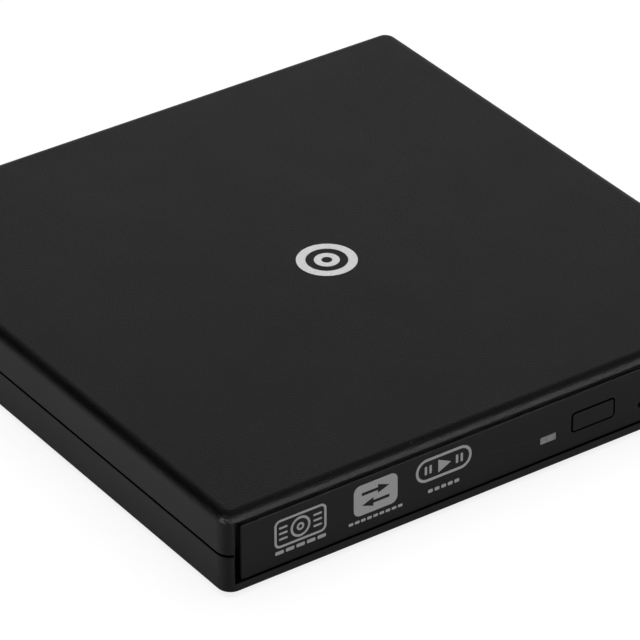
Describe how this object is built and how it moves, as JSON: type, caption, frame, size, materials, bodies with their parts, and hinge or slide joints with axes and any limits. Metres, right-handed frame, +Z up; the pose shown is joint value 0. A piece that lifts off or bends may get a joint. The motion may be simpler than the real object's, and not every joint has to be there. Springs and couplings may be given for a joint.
{
  "type": "external optical drive",
  "caption": "Flat external slim disc drive: a two-part black shell with rounded edges round a drive whose tray slides out of the front, with eject button, window and release hole.",
  "frame": {"origin": "centre of the footprint, on the plane that the rubber feet rest on", "axes": "+X right seen from the front, +Y to the back (the tray comes out along -Y), +Z up"},
  "size_m": [0.1344, 0.1362, 0.0183],
  "materials": {
    "shell_plastic": "fine moulded texture, satin",
    "bezel_plastic": "smooth satin",
    "tray_plastic": "fine moulded texture",
    "mark_print": "light grey inlay",
    "rubber": "matt",
    "screw_steel": "plated",
    "sheet_steel": "stamped and plated",
    "rail_steel": "drawn",
    "board": "solder resist",
    "board_blue": "solder resist",
    "chip": "moulded epoxy",
    "black_nylon": "moulded",
    "white_nylon": "moulded acetal",
    "bright_steel": "ground",
    "copper": "enamelled winding",
    "flex_film": "polyimide film",
    "die_cast": "die cast",
    "lens_glass": "coated",
    "window": "milky light guide",
    "button_plastic": "satin",
    "led_body": "clear epoxy"
  },
  "bodies": {
    "shell": {"top_cover": "shell_plastic", "bottom_cover": "shell_plastic", "rubber_feet": "rubber", "case_screws": "screw_steel", "top_emblem": "mark_print", "bridge_board": "board", "bridge_chip": "chip", "sata_socket": "black_nylon", "usb_shell": "bright_steel", "usb_tongue": "black_nylon", "board_screws": "screw_steel", "chassis_pan": "sheet_steel", "chassis_lid": "sheet_steel", "chassis_screws": "screw_steel", "left_guide": "white_nylon", "right_guide": "white_nylon", "main_board": "board_blue", "controller_chip": "chip", "driver_chip": "chip", "flex_socket": "white_nylon", "sata_plug": "black_nylon", "latch_post": "bright_steel", "ejector_housing": "black_nylon", "ejector_spring": "bright_steel", "tray_flex": "flex_film"},
    "left_rail": {"left_rail": "rail_steel"},
    "right_rail": {"right_rail": "rail_steel"},
    "tray": {"tray": "tray_plastic", "bezel": "bezel_plastic", "led_window": "window", "button_board": "board", "button_switch": "sheet_steel", "indicator_led": "led_body", "tray_bottom_cover": "sheet_steel", "latch_pivot": "bright_steel", "latch_spring": "bright_steel", "solenoid": "copper", "traverse_frame": "black_nylon", "traverse_cover": "sheet_steel", "rubber_dampers": "rubber", "damper_screws": "screw_steel", "spindle_motor_base": "sheet_steel", "motor_stator": "copper", "guide_rods": "bright_steel", "sled_motor": "sheet_steel"},
    "eject_button": {"eject_button": "button_plastic"},
    "latch": {"latch_lever": "white_nylon"},
    "solenoid_plunger": {"solenoid_plunger": "bright_steel"},
    "spindle": {"motor_rotor": "sheet_steel", "spindle_shaft": "bright_steel", "turntable": "black_nylon", "turntable_mat": "rubber"},
    "lead_screw": {"lead_screw": "bright_steel"},
    "pickup": {"pickup_body": "die_cast", "pickup_cover": "black_nylon", "pickup_rack": "white_nylon"},
    "lens": {"lens_holder": "black_nylon", "objective_lens": "lens_glass"},
    "ejector": {"ejector_plunger": "white_nylon"}
  },
  "joints": [
    {"name": "tray_slide", "type": "slide", "parent": "shell", "child": "tray", "axis": [0, -1, 0], "range_m": [0, 0.126], "deforming": ["tray_flex"]},
    {"name": "left_rail_slide", "type": "slide", "parent": "shell", "child": "left_rail", "axis": [0, -1, 0], "range_m": [0, 0.063]},
    {"name": "right_rail_slide", "type": "slide", "parent": "shell", "child": "right_rail", "axis": [0, -1, 0], "range_m": [0, 0.063]},
    {"name": "button_press", "type": "slide", "parent": "tray", "child": "eject_button", "axis": [0, 1, 0], "range_m": [0, 0.0005], "stiffness_N_per_m": 400},
    {"name": "latch_swing", "type": "hinge", "parent": "tray", "child": "latch", "pos_m": [0.046, -0.052, 0.0054], "axis": [0, 0, -1], "range_deg": [0, 10]},
    {"name": "solenoid_pull", "type": "slide", "parent": "tray", "child": "solenoid_plunger", "axis": [0, 1, 0], "range_m": [0, 0.00157], "stiffness_N_per_m": 20},
    {"name": "spindle_spin", "type": "hinge", "parent": "tray", "child": "spindle", "pos_m": [0, -0.0036, 0.012], "axis": [0, 0, 1], "continuous": true},
    {"name": "pickup_slide", "type": "slide", "parent": "tray", "child": "pickup", "axis": [-0.7071, -0.7071, 0], "range_m": [0, 0.034]},
    {"name": "screw_spin", "type": "hinge", "parent": "tray", "child": "lead_screw", "pos_m": [-0.00707, -0.03895, 0.0075], "axis": [-0.7071, -0.7071, 0], "range_deg": [-10, 4090]},
    {"name": "lens_focus", "type": "slide", "parent": "pickup", "child": "lens", "axis": [0, 0, 1], "range_m": [-0.0002, 0.0004], "stiffness_N_per_m": 20},
    {"name": "ejector_push", "type": "slide", "parent": "shell", "child": "ejector", "axis": [0, -1, 0], "range_m": [0, 0.005], "deforming": ["ejector_spring"]}
  ],
  "couplings": [
    {"joint": "left_rail_slide", "follows": "tray_slide", "ratio": 0.5},
    {"joint": "right_rail_slide", "follows": "tray_slide", "ratio": 0.5},
    {"joint": "latch_swing", "follows": "solenoid_pull", "rad_per_m": 111.17},
    {"joint": "screw_spin", "follows": "pickup_slide", "rad_per_m": 2094.4}
  ]
}
